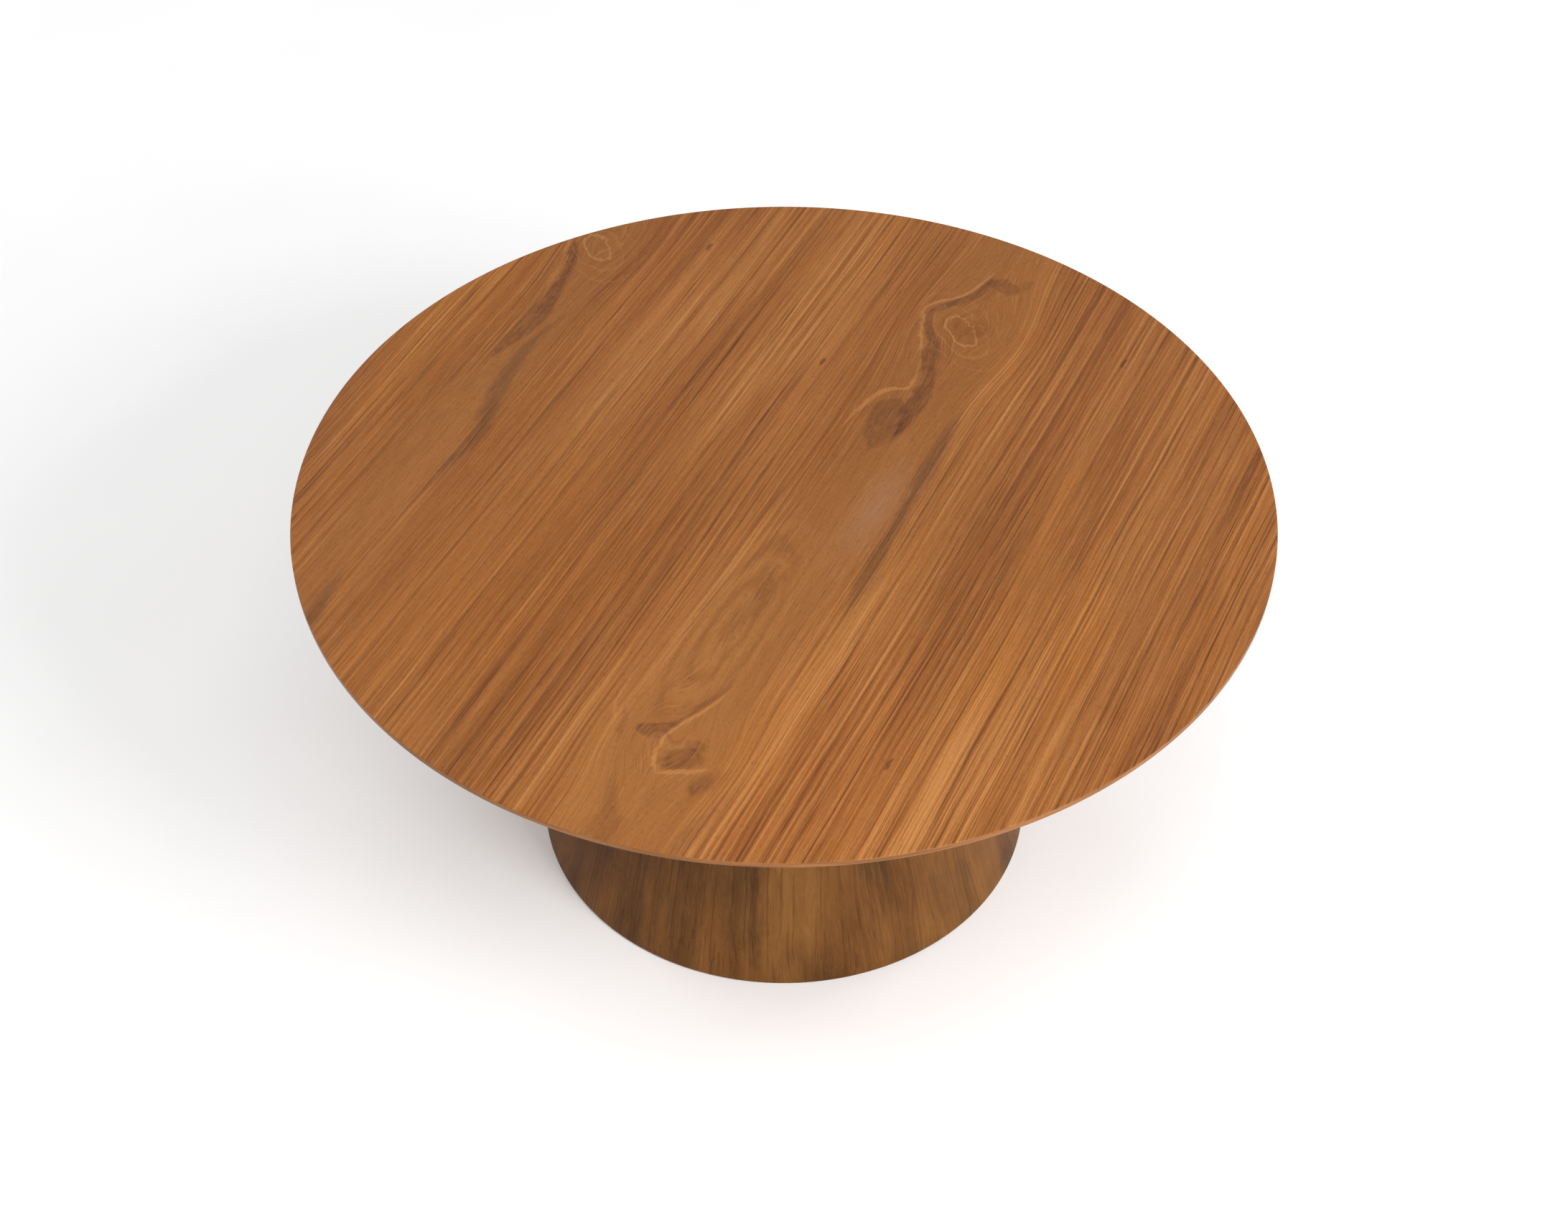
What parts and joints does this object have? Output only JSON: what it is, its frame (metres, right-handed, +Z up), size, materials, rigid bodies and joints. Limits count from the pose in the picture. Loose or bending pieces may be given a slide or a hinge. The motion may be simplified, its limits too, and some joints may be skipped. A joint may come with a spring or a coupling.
{
  "type": "tilt top table",
  "caption": "Large round walnut-veneered table top on a cone-shaped pedestal; the top tips up on a pivot and a sprung catch holds it level.",
  "frame": {"origin": "on the floor under the middle of the pedestal", "axes": "+Z up; +X along the pivot, to the right of someone facing the front; +Y to the rear, where the catch is pulled"},
  "size_m": [1.6, 1.6, 0.743],
  "materials": {
    "top_walnut": "satin lacquered walnut veneer",
    "base_walnut": "satin lacquered walnut veneer",
    "stained_hardwood": "stained and oiled",
    "beech": "planed and sealed",
    "plywood": "sanded, bare",
    "black_steel": "black powder coat",
    "zinc_steel": "zinc plated",
    "catch_brass": "satin",
    "buffer_rubber": "matt",
    "glide_plastic": "matt",
    "ballast_iron": "as cast"
  },
  "bodies": {
    "pedestal": {"base_veneer": "base_walnut", "base_shell": "plywood", "base_cap": "base_walnut", "top_board": "plywood", "bottom_board": "plywood", "ballast_disc": "ballast_iron", "rib_0": "plywood", "rib_1": "plywood", "rib_2": "plywood", "rib_3": "plywood", "floor_glide_0": "glide_plastic", "floor_glide_1": "glide_plastic", "floor_glide_2": "glide_plastic", "floor_glide_3": "glide_plastic", "floor_glide_4": "glide_plastic", "floor_glide_5": "glide_plastic", "mounting_plate": "black_steel", "plate_bolt_0": "zinc_steel", "plate_bolt_1": "zinc_steel", "plate_bolt_2": "zinc_steel", "plate_bolt_3": "zinc_steel", "pivot_lug_left": "black_steel", "pivot_lug_right": "black_steel", "pivot_pin_left": "zinc_steel", "pivot_pin_right": "zinc_steel", "pivot_nut_left": "zinc_steel", "pivot_nut_right": "zinc_steel", "tilt_block": "stained_hardwood", "stop_block": "stained_hardwood", "strike_plate": "catch_brass", "stop_buffer_left": "buffer_rubber", "stop_buffer_right": "buffer_rubber", "rest_buffer_left": "buffer_rubber", "rest_buffer_right": "buffer_rubber"},
    "tabletop": {"top_veneer": "top_walnut", "top_core": "plywood", "backing_veneer": "top_walnut", "edge_lipping": "top_walnut", "bearer_left": "beech", "bearer_right": "beech", "front_rail": "beech", "rear_rail": "beech", "cheek_plate_left": "black_steel", "cheek_plate_right": "black_steel", "cheek_bolt_left_0": "zinc_steel", "cheek_bolt_left_1": "zinc_steel", "cheek_bolt_right_0": "zinc_steel", "cheek_bolt_right_1": "zinc_steel", "bearer_screw_left_0": "zinc_steel", "bearer_screw_left_1": "zinc_steel", "bearer_screw_left_2": "zinc_steel", "bearer_screw_right_0": "zinc_steel", "bearer_screw_right_1": "zinc_steel", "bearer_screw_right_2": "zinc_steel", "catch_bracket": "catch_brass", "catch_spring": "zinc_steel", "bracket_screw_left": "catch_brass", "bracket_screw_right": "catch_brass"},
    "catch": {"catch_bolt": "zinc_steel", "pull_knob": "stained_hardwood"}
  },
  "joints": [
    {"name": "top_tilt", "type": "hinge", "parent": "pedestal", "child": "tabletop", "pos_m": [0, -0.18, 0.62], "axis": [1, 0, 0], "range_deg": [0, 70]},
    {"name": "catch_pull", "type": "slide", "parent": "tabletop", "child": "catch", "axis": [0, 1, 0], "range_m": [0, 0.016], "stiffness_N_per_m": 600, "springref_m": -0.02, "deforming": ["catch_spring"]}
  ]
}
